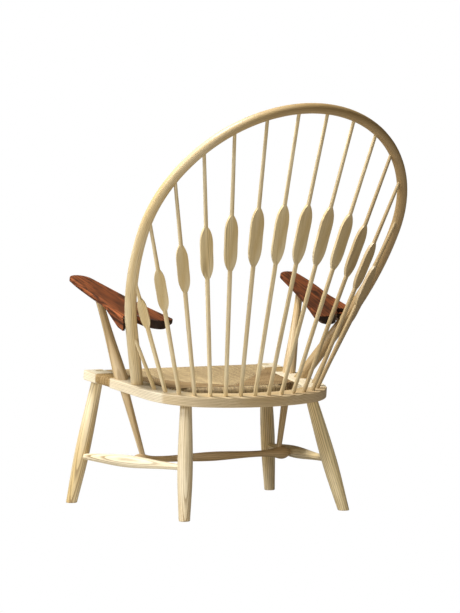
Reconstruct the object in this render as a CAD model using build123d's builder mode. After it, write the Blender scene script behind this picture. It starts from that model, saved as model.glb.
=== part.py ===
"""Hoop-backed spindle armchair in pale ash, with oiled hardwood arms and a woven cord seat.

Millimetres. Z is up and the chair faces -Y, so the sitter's left is +X. The dimensions are taken from the
middle of the four feet, and the finished pieces are moved so that the origin is on the floor, under the
middle of the chair's outer box.
"""

import math
import os

from build123d import *

# Fits
joint_clearance = 0.2
cut_overrun = 12.0

# Seat plane, which falls towards the back
seat_datum_height = 332.0
seat_slope = 6.54

# Seat rail: a flat bent rail, round the back and down both sides, that ends in two ears
rail_thickness = 26.0
rail_outer_margin = 24.0
rail_side_inner_margin = 32.0
rail_back_inner_margin = 42.0
rail_back_reach = 231.0
rail_back_radius = 440.0
rail_corner_radius = 138.0
rail_corner_start = 19.5
rail_side_splay = 5.7
rail_edge_round = 3.0
ear_front_reach = 206.0
ear_length = 62.0
neck_length = 70.0
ear_round = 6.0

# Cord wrapping and the bars that carry it
cord_build = 4.5
cord_edge_round = 9.0
front_bar_depth = 44.0
front_bar_tenon_length = 7.5
front_bar_tenon_depth = 28.0
front_bar_tenon_thickness = 11.0
rear_bar_depth = 24.0
rear_bar_reach = 98.0
rear_bar_radius = 400.0
rear_bar_tenon_length = 16.0

# Legs
front_leg_top_reach = 186.0
front_leg_inset = 12.7
front_leg_side_splay = 52.0
front_leg_front_splay = 64.0
rear_leg_inset = 21.6
rear_leg_corner_turn = 46.4
rear_leg_side_splay = 54.0
rear_leg_back_splay = 89.0
leg_foot_radius = 14.4
leg_belly_radius = 19.4
leg_neck_radius = 17.4
leg_top_radius = 14.4
leg_belly_height_share = 0.36
leg_neck_height_share = 0.7
leg_tenon_radius = 10.5
leg_tenon_root = 12.0
rear_leg_tenon_length = 17.0
foot_chamfer = 1.5
wedge_width = 2.6
wedge_depth = 17.0

# Stretchers
stretcher_front_height = 125.0
stretcher_rear_height = 130.0
side_stretcher_end_radius = 8.0
side_stretcher_end_length = 20.0
side_stretcher_belly_radius = 16.0
side_stretcher_belly_share = 0.449
side_stretcher_shoulder_share = 0.26
side_stretcher_shoulder_radius = 11.6
cross_middle_radius = 12.2
cross_neck_radius = 8.8
cross_neck_reach = 162.0
cross_bulb_radius = 15.8
cross_bulb_reach = 202.5
cross_end_radius = 8.0
cross_end_step = 2.5
cross_bulb_half_length = 24.0
cross_socket_depth = 34.0
cross_tenon_gap = 2.0

# Arm posts, each one turning from the cross stretcher up through the rail to the arm
post_rail_reach = 59.5
post_rail_outset = 0.2
post_arm_rise = 233.0
post_bottom_radius = 7.0
post_rail_radius = 11.0
post_base_radius = 17.6
post_waist_radius = 11.0
post_top_radius = 11.2
post_waist_share = 0.6
post_tenon_radius = 8.0

# Hoop: a bent rod in one leaning plane
hoop_lean = 34.0
hoop_foot_set_back = 15.0
hoop_crown_radius = 368.0
hoop_crown_height = 476.4
hoop_straight_length = 191.0
hoop_foot_radius = 16.0
hoop_foot_overrun = 24.0
hoop_shin_radius = 15.4
hoop_mid_radius = 13.9
hoop_bore_past_middle = 4.0
hoop_crown_rod_radius = 13.1
hoop_tenon_radius = 11.0
hoop_tenon_length = 20.0
hoop_step_share = 0.02

# Spindles, listed for one half from the outermost to the middle one
spindle_pitch = 40.1
spindle_first_share = 0.5
spindle_hoop_shares = (0.823, 0.658, 0.495, 0.379, 0.286, 0.2025, 0.119, 0.0385)
spindle_base_radius = 5.4
spindle_under_blade_radius = 5.7
spindle_over_blade_radius = 5.2
spindle_top_radius = 4.4
spindle_base_socket = 15.0
spindle_top_run_in = 3.0
blade_half_width = 17.4
blade_width_shares = (0.0, 0.66, 0.8, 0.85, 0.91, 0.95, 0.98, 1.0)
blade_turns = (0.0, 38.0, 28.0, 20.5, 13.0, 8.0, 4.5, 1.5)
blade_shoulder_width_share = 0.84
blade_shoulder_share = 0.15
blade_thickness = 8.0
blade_tip_width_share = 0.24
blade_length_shares = (0.0, 0.243, 0.232, 0.216, 0.211, 0.208, 0.207, 0.205)
blade_centre_shares = (0.0, 0.675, 0.592, 0.588, 0.588, 0.582, 0.576, 0.571)
blade_run_out = 18.0
blade_run_out_radius = 3.2

# Arms
arm_slope = 17.2
arm_rise = 217.0
arm_front_reach = 187.0
arm_length = 347.0
arm_post_inset = 96.0
arm_spread = 138.0
arm_thickness = 23.0
arm_edge_thickness = 11.0
arm_top_round = 3.0
arm_under_inset_share = 0.26
arm_knuckle_depth = 38.0
arm_hoop_gap = 0.6
arm_hoop_radius = 15.9
arm_hoop_share = 0.764
arm_spine_front_share = 0.77
arm_spine_rear_share = 0.5
arm_front_shares = ((0.60, 0.04), (0.77, 0.0), (0.94, 0.02))
arm_outer_shares = ((0.985, 0.085), (1.0, 0.24), (0.975, 0.42), (0.955, 0.53), (0.985, 0.70), (0.95, 0.90))
arm_rear_shares = ((0.64, 0.86), (0.57, 0.91), (0.50, 0.945), (0.36, 0.985), (0.20, 1.0), (0.05, 0.985))
arm_inner_shares = ((0.0, 0.955), (0.06, 0.88), (0.22, 0.67), (0.35, 0.47), (0.46, 0.26), (0.53, 0.12))
arm_knuckle_top_shares = ((0.60, 0.86), (0.64, 0.56), (0.95, 0.60), (0.93, 0.90))
arm_knuckle_foot_shares = ((0.74, 0.87), (0.74, 0.80), (0.92, 0.82), (0.92, 0.90))


def seat_height(y):
    """Height of the seat plane over a place on the floor."""
    return seat_datum_height - y * math.tan(math.radians(seat_slope))


def on_seat(x, y):
    """The point of the seat plane over a place on the floor."""
    return Vector(x, y, seat_height(y))


def plane_along(start, end, facing):
    """A plane from start, with its Y towards end and its Z towards facing."""
    along = (end - start).normalized()
    across = along.cross(facing).normalized()
    return Plane(origin=start, x_dir=across, z_dir=across.cross(along))


def bore_plane(start, end):
    """A plane at start whose Z points to end."""
    return Plane(origin=start, z_dir=(end - start).normalized())


def point_at_height(start, end, height):
    """The point of a line at a height."""
    return start + (end - start) * ((height - start.Z) / (end.Z - start.Z))


def distance_to_seat(start, end, depth):
    """How far along a line it crosses the plane that lies depth below the seat plane."""
    rise = seat_plane.to_local_coords(end).Z - seat_plane.to_local_coords(start).Z
    share = (-depth - seat_plane.to_local_coords(start).Z) / rise
    return (end - start).length * share


def draw_turning(stations):
    """Half outline of a turning, from pairs of distance along the axis and radius."""
    edge = [(radius, distance) for distance, radius in stations]
    Spline(*edge)
    Polyline(edge[-1], (0, edge[-1][1]), (0, edge[0][1]), edge[0])


def draw_cone(stations):
    """Half outline of a turning with straight runs between its stations."""
    edge = [(radius, distance) for distance, radius in stations]
    Polyline(*edge, (0, edge[-1][1]), (0, edge[0][1]), close=True)


back = Vector(0, 1, 0)
slope_cos = math.cos(math.radians(seat_slope))
seat_plane = Plane(
    origin=(0, 0, seat_datum_height),
    x_dir=(1, 0, 0),
    z_dir=(0, math.sin(math.radians(seat_slope)), slope_cos),
)
under_plane = seat_plane.offset(-rail_thickness)
neck_thickness = rail_thickness - cord_build - cord_build

# The line of the holes for spindles, hoop and posts: a back arc, two corner arcs and two splayed sides
back_centre_y = rail_back_reach - rail_back_radius
corner_turn = math.radians(rail_corner_start)
corner_centre_x = (rail_back_radius - rail_corner_radius) * math.sin(corner_turn)
corner_centre_y = back_centre_y + (rail_back_radius - rail_corner_radius) * math.cos(corner_turn)
splay = math.radians(rail_side_splay)


def corner_end(inset):
    """Where a corner arc, drawn inside the hole line by inset, meets the side."""
    radius = rail_corner_radius - inset
    return (corner_centre_x + radius * math.cos(splay), corner_centre_y + radius * math.sin(splay))


def side_point(y, inset):
    """A point of the straight side, inside the hole line by inset."""
    x, corner_y = corner_end(inset)
    return (x + (corner_y - y) * math.tan(splay), y)


def hole_line_point(distance):
    """The point of the hole line at a distance from its middle."""
    back_run = rail_back_radius * corner_turn
    corner_run = rail_corner_radius * (math.pi / 2 - splay - corner_turn)
    if distance <= back_run:
        angle = distance / rail_back_radius
        return (rail_back_radius * math.sin(angle), back_centre_y + rail_back_radius * math.cos(angle))
    if distance <= back_run + corner_run:
        angle = corner_turn + (distance - back_run) / rail_corner_radius
        return (
            corner_centre_x + rail_corner_radius * math.sin(angle),
            corner_centre_y + rail_corner_radius * math.cos(angle),
        )
    x, y = corner_end(0)
    run = distance - back_run - corner_run
    return (x + run * math.sin(splay), y - run * math.cos(splay))


def draw_rail_half(inset):
    """Back arc and corner arc on the +X side, inside the hole line by inset."""
    CenterArc((0, back_centre_y), rail_back_radius - inset, 90 - rail_corner_start, rail_corner_start)
    CenterArc(
        (corner_centre_x, corner_centre_y),
        rail_corner_radius - inset,
        rail_side_splay,
        90 - rail_corner_start - rail_side_splay,
    )


# Hoop geometry in its own leaning plane
lean = math.radians(hoop_lean)
hoop_foot_half_spread = side_point(hoop_foot_set_back, 0)[0]
hoop_plane = Plane(
    origin=on_seat(0, hoop_foot_set_back),
    x_dir=(1, 0, 0),
    z_dir=(0, -math.cos(lean), math.sin(lean)),
)
# Each side is an arc that leaves the crown upright and runs out tangent to the straight foot
straight_run = hoop_straight_length
hoop_side_turn = 2 * math.atan((hoop_crown_radius - hoop_foot_half_spread) / (hoop_crown_height + straight_run))
hoop_side_radius = (hoop_crown_height - straight_run * math.cos(hoop_side_turn)) / math.sin(hoop_side_turn)
side_centre_x = hoop_crown_radius - hoop_side_radius
crown_run = hoop_crown_radius * math.pi / 2
side_run = hoop_side_radius * hoop_side_turn


def hoop_point(share):
    """Centre of the hoop rod at a share of the way from the crown to the foot, in the hoop's plane."""
    distance = share * (crown_run + side_run + straight_run)
    if distance <= crown_run:
        angle = distance / hoop_crown_radius
        return (
            hoop_crown_radius * math.sin(angle),
            hoop_crown_height + hoop_crown_radius * math.cos(angle),
        )
    if distance <= crown_run + side_run:
        angle = (distance - crown_run) / hoop_side_radius
        return (
            side_centre_x + hoop_side_radius * math.cos(angle),
            hoop_crown_height - hoop_side_radius * math.sin(angle),
        )
    rest = crown_run + side_run + straight_run - distance
    return (
        hoop_foot_half_spread + rest * math.sin(hoop_side_turn),
        rest * math.cos(hoop_side_turn),
    )


def hoop_place(share, side):
    """The same point in the chair's frame, on the +X side (1) or the -X side (-1)."""
    x, height = hoop_point(share)
    return hoop_plane.from_local_coords(Vector(side * x, height, 0))


def hoop_bore_length(base, top, share, side):
    """How far back from the rod's middle a spindle's bore has to reach, more where it runs in at a slant."""
    along_hoop = hoop_place(share + hoop_step_share, side) - hoop_place(share - hoop_step_share, side)
    slant = math.radians(along_hoop.get_angle(top - base))
    return (hoop_foot_radius + spindle_base_radius) / math.sin(slant) + hoop_bore_past_middle


# Spindle axes: from the rail to the middle of the hoop rod
spindle_count_half = len(spindle_hoop_shares)
spindles = []
for side in (1, -1):
    for order in range(spindle_count_half):
        steps = spindle_count_half - 1 - order + spindle_first_share
        base_x, base_y = hole_line_point(steps * spindle_pitch)
        spindles.append((side, order, on_seat(side * base_x, base_y), hoop_place(spindle_hoop_shares[order], side)))

sides = ((1, "left"), (-1, "right"))


def front_leg_axis(side):
    x, y = side_point(-front_leg_top_reach, front_leg_inset)
    foot = Vector(side * (x + front_leg_side_splay), y - front_leg_front_splay, 0)
    return foot, on_seat(side * x, y)


def rear_leg_axis(side):
    turn = math.radians(rear_leg_corner_turn)
    x = corner_centre_x + (rail_corner_radius - rear_leg_inset) * math.cos(turn)
    y = corner_centre_y + (rail_corner_radius - rear_leg_inset) * math.sin(turn)
    foot = Vector(side * (x + rear_leg_side_splay), y + rear_leg_back_splay, 0)
    return foot, on_seat(side * x, y)


def side_stretcher_axis(side):
    front = point_at_height(*front_leg_axis(side), stretcher_front_height)
    rear = point_at_height(*rear_leg_axis(side), stretcher_rear_height)
    return front, rear


def cross_joint(side):
    """Where the cross stretcher's axis meets a side stretcher's axis."""
    front, rear = side_stretcher_axis(side)
    return front + (rear - front) * side_stretcher_belly_share


def post_axis(side):
    """From the middle of the cross stretcher's bulb, through the rail, up into the arm."""
    joint = cross_joint(side)
    bottom = Vector(side * cross_bulb_reach, joint.Y, joint.Z)
    x, y = side_point(-post_rail_reach, -post_rail_outset)
    return bottom, point_at_height(bottom, on_seat(side * x, y), seat_datum_height + post_arm_rise)


def hoop_foot_axis(side):
    """The straight foot of the hoop, from the seat plane upwards."""
    foot = hoop_place(1, side)
    return foot, hoop_place(1 - straight_run / (crown_run + side_run + straight_run), side)


# Seat rail with its ears, necks and sockets
slope_axis = Axis((0, 0, 0), tuple(seat_plane.z_dir))
ear_front_v = -ear_front_reach / slope_cos
ear_rear_v = ear_front_v + ear_length
neck_rear_v = ear_rear_v + neck_length
front_bar_middle_v = ear_front_v + ear_length / 2
rear_bar_thickness = rail_thickness - cord_build - cord_build
through_reach = rail_thickness + cut_overrun + cut_overrun


def draw_rear_bar(grow, tenon_reach):
    """Plan of the bowed rear bar: two arcs that run out into the rail."""
    outer = rear_bar_radius + rear_bar_depth / 2 + grow
    inner = rear_bar_radius - rear_bar_depth / 2 - grow
    centre_y = rear_bar_reach - rear_bar_radius
    half_turn = math.degrees(math.asin(tenon_reach / rear_bar_radius))
    wide = CenterArc((0, centre_y), outer, 90 - half_turn, half_turn + half_turn)
    narrow = CenterArc((0, centre_y), inner, 90 - half_turn, half_turn + half_turn)
    Line(wide @ 0, narrow @ 0)
    Line(wide @ 1, narrow @ 1)


def draw_front_bar(grow, reach):
    """Plan of the straight front bar."""
    with Locations((0, front_bar_middle_v)):
        Rectangle(reach + reach, front_bar_depth + grow + grow)


ear_inner_x = side_point(front_bar_middle_v, rail_side_inner_margin)[0]
bar_seat_x = side_point(rear_bar_reach, rail_back_inner_margin)[0]

with BuildPart() as seat_rail:
    with BuildSketch(seat_plane):
        with BuildLine():
            draw_rail_half(-rail_outer_margin)
            draw_rail_half(rail_back_inner_margin)
            Line(corner_end(-rail_outer_margin), side_point(ear_front_v, -rail_outer_margin))
            Line(side_point(ear_front_v, -rail_outer_margin), side_point(ear_front_v, rail_side_inner_margin))
            Line(side_point(ear_front_v, rail_side_inner_margin), corner_end(rail_back_inner_margin))
            mirror(about=Plane.YZ)
        make_face()
    extrude(amount=-rail_thickness)
    fillet(seat_rail.edges().filter_by(slope_axis).group_by(Axis.Y)[0], ear_round)
    rail_faces = seat_rail.faces().sort_by(slope_axis)
    fillet(rail_faces[0].edges() + rail_faces[-1].edges(), rail_edge_round)
    with BuildSketch(seat_plane):
        with Locations((0, (ear_rear_v + neck_rear_v) / 2)):
            Rectangle(hoop_crown_radius + hoop_crown_radius, neck_length)
    extrude(amount=-rail_thickness, mode=Mode.SUBTRACT)
    with BuildSketch(seat_plane.offset(-cord_build)):
        for side, name in sides:
            with BuildLine():
                Polyline(
                    (side * side_point(ear_rear_v, 0)[0] + side * (rail_outer_margin - cord_build), ear_rear_v),
                    (side * side_point(neck_rear_v, 0)[0] + side * (rail_outer_margin - cord_build), neck_rear_v),
                    (side * side_point(neck_rear_v, rail_side_inner_margin - cord_build)[0], neck_rear_v),
                    (side * side_point(ear_rear_v, rail_side_inner_margin - cord_build)[0], ear_rear_v),
                    close=True,
                )
            make_face()
    extrude(amount=-neck_thickness)
    for side, order, base, top in spindles:
        with Locations(bore_plane(base, top).offset((cut_overrun - spindle_base_socket) / 2)):
            Cylinder(
                spindle_base_radius + joint_clearance,
                spindle_base_socket + cut_overrun,
                mode=Mode.SUBTRACT,
            )
    for side, name in sides:
        foot, top = front_leg_axis(side)
        with Locations(bore_plane(top, foot)):
            Cylinder(leg_tenon_radius + joint_clearance, 2 * through_reach, mode=Mode.SUBTRACT)
        foot, top = rear_leg_axis(side)
        with Locations(bore_plane(foot, top).offset(distance_to_seat(foot, top, rail_thickness))):
            Cylinder(
                leg_tenon_radius + joint_clearance,
                rear_leg_tenon_length + rear_leg_tenon_length,
                mode=Mode.SUBTRACT,
            )
        bottom, top = post_axis(side)
        with Locations(bore_plane(bottom, top).offset(distance_to_seat(bottom, top, 0))):
            Cylinder(post_rail_radius + joint_clearance, 2 * through_reach, mode=Mode.SUBTRACT)
        foot, rise = hoop_foot_axis(side)
        with Locations(bore_plane(foot, rise)):
            Cylinder(
                hoop_tenon_radius + joint_clearance,
                hoop_tenon_length + hoop_tenon_length,
                mode=Mode.SUBTRACT,
            )
    with BuildSketch(seat_plane.offset(joint_clearance - (rail_thickness - front_bar_tenon_thickness) / 2)):
        with Locations((0, front_bar_middle_v)):
            Rectangle(
                2 * (ear_inner_x + front_bar_tenon_length + joint_clearance),
                front_bar_tenon_depth + joint_clearance + joint_clearance,
            )
    extrude(amount=-front_bar_tenon_thickness - joint_clearance - joint_clearance, mode=Mode.SUBTRACT)
    with BuildSketch(seat_plane.offset(joint_clearance - cord_build)):
        with BuildLine():
            draw_rear_bar(joint_clearance, bar_seat_x + rear_bar_tenon_length + joint_clearance)
        make_face()
    extrude(amount=-rear_bar_thickness - joint_clearance - joint_clearance, mode=Mode.SUBTRACT)
seat_rail.part.label = "seat_rail"

# Front and rear bars, hidden by the cord
with BuildPart() as front_bar:
    with BuildSketch(seat_plane.offset(-cord_build)):
        draw_front_bar(0, ear_inner_x - cord_build)
    extrude(amount=-neck_thickness)
    with BuildSketch(seat_plane.offset(-(rail_thickness - front_bar_tenon_thickness) / 2)):
        with Locations((0, front_bar_middle_v)):
            Rectangle(2 * (ear_inner_x + front_bar_tenon_length), front_bar_tenon_depth)
    extrude(amount=-front_bar_tenon_thickness)
front_bar.part.label = "front_bar"

with BuildPart() as rear_bar:
    with BuildSketch(seat_plane.offset(-cord_build)):
        with BuildLine():
            draw_rear_bar(0, bar_seat_x + rear_bar_tenon_length)
        make_face()
    extrude(amount=-rear_bar_thickness)
rear_bar.part.label = "rear_bar"

# Legs, turned with a belly and tenoned into the rail; the front tenons run through the ears and are wedged
legs = []
for side, name in sides:
    for place, (foot, top) in (("front", front_leg_axis(side)), ("rear", rear_leg_axis(side))):
        leg_plane = plane_along(foot, top, back)
        length = (top - foot).length
        shoulder = distance_to_seat(foot, top, rail_thickness)
        belly = length * leg_belly_height_share
        through = place == "front"
        with BuildPart() as leg:
            with BuildSketch(leg_plane):
                with BuildLine():
                    draw_turning(
                        (
                            (-cut_overrun, leg_foot_radius - (leg_belly_radius - leg_foot_radius) * cut_overrun / belly),
                            (0, leg_foot_radius),
                            (belly, leg_belly_radius),
                            (length * leg_neck_height_share, leg_neck_radius),
                            (shoulder + cut_overrun, leg_top_radius),
                        )
                    )
                make_face()
            revolve(axis=Axis(leg_plane.origin, leg_plane.y_dir))
            split(bisect_by=Plane.XY, keep=Keep.TOP)
            split(bisect_by=under_plane, keep=Keep.BOTTOM)
            chamfer(leg.edges().group_by(Axis.Z)[0], foot_chamfer)
            tenon_end = length + cut_overrun if through else shoulder + rear_leg_tenon_length - joint_clearance
            with BuildSketch(leg_plane):
                with BuildLine():
                    draw_cone(((shoulder - leg_tenon_root, leg_tenon_radius), (tenon_end, leg_tenon_radius)))
                make_face()
            revolve(axis=Axis(leg_plane.origin, leg_plane.y_dir))
            split(bisect_by=seat_plane, keep=Keep.BOTTOM)
            if through:
                with BuildSketch(seat_plane):
                    with Locations(seat_plane.to_local_coords(top)):
                        Rectangle(leg_tenon_radius * 2 + cut_overrun, wedge_width + joint_clearance + joint_clearance)
                extrude(amount=-wedge_depth - joint_clearance, mode=Mode.SUBTRACT)
            front, rear = side_stretcher_axis(side)
            near, far = (front, rear) if through else (rear, front)
            with Locations(bore_plane(near, far).offset(leg_belly_radius)):
                Cylinder(
                    side_stretcher_end_radius + joint_clearance,
                    leg_belly_radius + leg_belly_radius,
                    mode=Mode.SUBTRACT,
                )
        leg.part.label = f"leg_{place}_{name}"
        legs.append(leg.part)

# Wedges in the front leg tenons
wedges = []
for side, name in sides:
    foot, top = front_leg_axis(side)
    with BuildPart() as wedge:
        with BuildSketch(seat_plane):
            with Locations(seat_plane.to_local_coords(top)):
                Rectangle(leg_tenon_radius * 2 + cut_overrun, wedge_width)
        extrude(amount=-wedge_depth)
        with BuildSketch(plane_along(foot, top, back)):
            with BuildLine():
                draw_cone(((0, leg_tenon_radius), ((top - foot).length + cut_overrun, leg_tenon_radius)))
            make_face()
        revolve(axis=Axis(foot, top - foot), mode=Mode.INTERSECT)
    wedge.part.label = f"tenon_wedge_{name}"
    wedges.append(wedge.part)

# Side stretchers, swollen where the cross stretcher enters
side_stretchers = []
for side, name in sides:
    front, rear = side_stretcher_axis(side)
    length = (rear - front).length
    middle = length * side_stretcher_belly_share
    reach = length * side_stretcher_shoulder_share
    stretcher_plane = plane_along(front, rear, Vector(0, 0, 1))
    with BuildPart() as stretcher:
        with BuildSketch(stretcher_plane):
            with BuildLine():
                draw_turning(
                    (
                        (side_stretcher_end_length, side_stretcher_end_radius),
                        (middle - reach, side_stretcher_shoulder_radius),
                        (middle, side_stretcher_belly_radius),
                        (middle + reach, side_stretcher_shoulder_radius),
                        (length - side_stretcher_end_length, side_stretcher_end_radius),
                    )
                )
            make_face()
            with BuildLine():
                draw_cone(
                    (
                        (joint_clearance, side_stretcher_end_radius),
                        (length - joint_clearance, side_stretcher_end_radius),
                    )
                )
            make_face()
        revolve(axis=Axis(front, rear - front))
        with Locations(bore_plane(cross_joint(side), cross_joint(-side)).offset(cross_socket_depth / 2)):
            Cylinder(cross_end_radius + joint_clearance, cross_socket_depth, mode=Mode.SUBTRACT)
    stretcher.part.label = f"side_stretcher_{name}"
    side_stretchers.append(stretcher.part)

# Cross stretcher: a gentle middle, two necks and two bulbs that take the arm posts
cross_half = cross_joint(1).X
cross_plane = plane_along(Vector(0, cross_joint(1).Y, cross_joint(1).Z), cross_joint(1), back)
cross_stations = (
    (cross_neck_reach, cross_neck_radius),
    (cross_bulb_reach - cross_bulb_half_length / 2, (cross_neck_radius + cross_bulb_radius) / 2),
    (cross_bulb_reach, cross_bulb_radius),
    (cross_half - side_stretcher_belly_radius - cross_end_step, cross_end_radius),
)
with BuildPart() as cross_stretcher:
    with BuildSketch(cross_plane):
        with BuildLine():
            edge = [(radius, distance) for distance, radius in cross_stations]
            Spline(*[(x, -y) for x, y in reversed(edge)], (cross_middle_radius, 0), *edge)
            Line(edge[-1], (0, edge[-1][1]))
            Line((0, edge[-1][1]), (0, -edge[-1][1]))
            Line((0, -edge[-1][1]), (edge[-1][0], -edge[-1][1]))
        make_face()
        with Locations((cross_end_radius / 2, 0)):
            Rectangle(cross_end_radius, 2 * (cross_half - cross_tenon_gap))
    revolve(axis=Axis(cross_plane.origin, cross_plane.y_dir))
    for side, name in sides:
        bottom, top = post_axis(side)
        with Locations(bore_plane(bottom, top).offset(cross_bulb_radius)):
            Cylinder(post_bottom_radius + joint_clearance, cross_bulb_radius * 2, mode=Mode.SUBTRACT)
cross_stretcher.part.label = "cross_stretcher"

# Arm posts
arm_cos = math.cos(math.radians(arm_slope))
arm_plane = Plane(
    origin=(0, 0, seat_datum_height + arm_rise),
    x_dir=(1, 0, 0),
    z_dir=(0, math.sin(math.radians(arm_slope)), arm_cos),
)
arm_under = arm_plane.offset(-arm_thickness)
posts = []
for side, name in sides:
    bottom, top = post_axis(side)
    post_plane = plane_along(bottom, top, back)
    length = (top - bottom).length
    rail_place = distance_to_seat(bottom, top, 0)
    upper = length - rail_place
    with BuildPart() as post:
        with BuildSketch(post_plane):
            with BuildLine():
                draw_turning(
                    (
                        (rail_place - post_base_radius, post_base_radius),
                        (rail_place, post_base_radius),
                        (rail_place + upper * post_waist_share / 2, (post_base_radius + post_waist_radius) / 2),
                        (rail_place + upper * post_waist_share, post_waist_radius),
                        (length + cut_overrun, post_top_radius),
                    )
                )
            make_face()
        revolve(axis=Axis(bottom, top - bottom))
        split(bisect_by=seat_plane, keep=Keep.TOP)
        split(bisect_by=arm_under, keep=Keep.BOTTOM)
        with BuildSketch(post_plane):
            with BuildLine():
                draw_cone(
                    (
                        (joint_clearance, post_bottom_radius),
                        (cross_bulb_radius, post_bottom_radius),
                        (rail_place - rail_thickness - post_base_radius, post_rail_radius),
                        (rail_place + post_base_radius, post_rail_radius),
                        (rail_place + post_base_radius, post_tenon_radius),
                        (length, post_tenon_radius),
                    )
                )
            make_face()
        revolve(axis=Axis(bottom, top - bottom))
    post.part.label = f"arm_post_{name}"
    posts.append(post.part)

# Hoop, bent in one plane, thickest at its feet
straight_top = (
    hoop_foot_half_spread + straight_run * math.sin(hoop_side_turn),
    straight_run * math.cos(hoop_side_turn),
)
foot_start = (
    hoop_foot_half_spread - hoop_foot_overrun * math.sin(hoop_side_turn),
    -hoop_foot_overrun * math.cos(hoop_side_turn),
)
side_degrees = math.degrees(hoop_side_turn)
with BuildPart() as hoop:
    with BuildLine(hoop_plane) as hoop_line:
        Line(foot_start, straight_top)
        CenterArc((side_centre_x, hoop_crown_height), hoop_side_radius, -side_degrees, side_degrees)
        CenterArc((0, hoop_crown_height), hoop_crown_radius, 0, 180)
        CenterArc((-side_centre_x, hoop_crown_height), hoop_side_radius, 180, side_degrees)
        Line((-straight_top[0], straight_top[1]), (-foot_start[0], foot_start[1]))
    hoop_path = hoop_line.wires()[0]
    crown_distance = hoop_path.length / 2
    hoop_stations = (
        (0, hoop_foot_radius),
        (hoop_foot_overrun + straight_run, hoop_shin_radius),
        (hoop_foot_overrun + straight_run + side_run, hoop_mid_radius),
        (crown_distance, hoop_crown_rod_radius),
        (crown_distance + crown_run, hoop_mid_radius),
        (crown_distance + crown_run + side_run, hoop_shin_radius),
        (hoop_path.length, hoop_foot_radius),
    )
    for distance, radius in hoop_stations:
        with BuildSketch(Plane(hoop_path ^ (distance / hoop_path.length))):
            Circle(radius)
    sweep(path=hoop_path, multisection=True)
    with BuildSketch(seat_plane):
        Rectangle(4 * hoop_crown_radius, 4 * hoop_crown_radius)
    extrude(amount=-2 * hoop_foot_overrun, mode=Mode.SUBTRACT)
    for side, name in sides:
        foot, rise = hoop_foot_axis(side)
        with BuildSketch(plane_along(foot, rise, back)):
            with BuildLine():
                draw_cone(
                    (
                        (joint_clearance - hoop_tenon_length, hoop_tenon_radius),
                        (hoop_foot_radius, hoop_tenon_radius),
                    )
                )
            make_face()
        revolve(axis=Axis(foot, rise - foot))
    for side, order, base, top in spindles:
        bore = hoop_bore_length(base, top, spindle_hoop_shares[order], side)
        with Locations(bore_plane(top, base).offset(bore / 2 - hoop_bore_past_middle)):
            Cylinder(spindle_top_radius + joint_clearance, bore, mode=Mode.SUBTRACT)
hoop.part.label = "back_hoop"

# Spindles, with flat leaf-shaped blades that lie along the hoop's plane
spindle_parts = []
for number, (side, order, base, top) in enumerate(spindles):
    length = (top - base).length
    blade_turn = math.radians(blade_turns[order])
    spindle_plane = plane_along(base, top, Vector(side * math.sin(blade_turn), math.cos(blade_turn), 0))
    spindle_axis = Axis(base, top - base)
    blade_half = blade_half_width * blade_width_shares[order]
    blade_tip = blade_half_width * blade_tip_width_share
    blade_length = length * blade_length_shares[order]
    blade_low = length * blade_centre_shares[order] - blade_length / 2
    blade_high = blade_low + blade_length
    low_end = joint_clearance - spindle_base_socket
    high_end = length + spindle_top_run_in
    high_start = high_end - hoop_bore_length(base, top, spindle_hoop_shares[order], side)
    with BuildPart() as spindle:
        if blade_length:
            with BuildSketch(spindle_plane):
                with BuildLine():
                    draw_cone(
                        (
                            (low_end, spindle_base_radius),
                            (blade_low, spindle_under_blade_radius),
                            (blade_low + blade_run_out, blade_run_out_radius),
                        )
                    )
                make_face()
                with BuildLine():
                    draw_cone(
                        (
                            (blade_high - blade_run_out, blade_run_out_radius),
                            (blade_high, spindle_over_blade_radius),
                            (high_start, spindle_top_radius),
                            (high_end, spindle_top_radius),
                        )
                    )
                make_face()
            revolve(axis=spindle_axis)
            shoulder_width = blade_half * blade_shoulder_width_share
            shoulder_run = blade_length * blade_shoulder_share
            right_edge = (
                (blade_tip, blade_low),
                (shoulder_width, blade_low + shoulder_run),
                (blade_half, (blade_low + blade_high) / 2),
                (shoulder_width, blade_high - shoulder_run),
                (blade_tip, blade_high),
            )
            with BuildSketch(spindle_plane):
                with BuildLine():
                    Spline(*right_edge)
                    Line(right_edge[-1], (-blade_tip, blade_high))
                    Spline(*[(-x, y) for x, y in reversed(right_edge)])
                    Line((-blade_tip, blade_low), right_edge[0])
                make_face()
            extrude(amount=blade_thickness / 2, both=True)
        else:
            with BuildSketch(spindle_plane):
                with BuildLine():
                    draw_cone(
                        (
                            (low_end, spindle_base_radius),
                            (high_start, spindle_top_radius),
                            (high_end, spindle_top_radius),
                        )
                    )
                make_face()
            revolve(axis=spindle_axis)
    spindle.part.label = f"spindle_{number + 1:02d}"
    spindle_parts.append(spindle.part)


def arm_point(share_pair, side, inset):
    """A point of the arm's outline in the arm plane, drawn in towards the spine by inset."""
    x_share, y_share = share_pair
    spine = arm_spine_front_share + (arm_spine_rear_share - arm_spine_front_share) * y_share
    fade = 1 - y_share
    x_share = spine + (x_share - spine) * (1 - inset * (1 + fade))
    y_share = y_share + inset * fade**3 / 2
    x = post_axis(1)[1].X - arm_post_inset + arm_spread * x_share
    return (side * x, (arm_length * y_share - arm_front_reach) / arm_cos)


def draw_arm(side, inset):
    """The arm's outline: one sweep from the inner tip round the front, and the rear edge."""
    edge = [arm_point(pair, side, inset) for pair in (*arm_inner_shares, *arm_front_shares, *arm_outer_shares)]
    rear_edge = [arm_point(pair, side, inset) for pair in arm_rear_shares]
    Spline(*edge)
    Spline(edge[-1], *rear_edge, edge[0])


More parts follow.
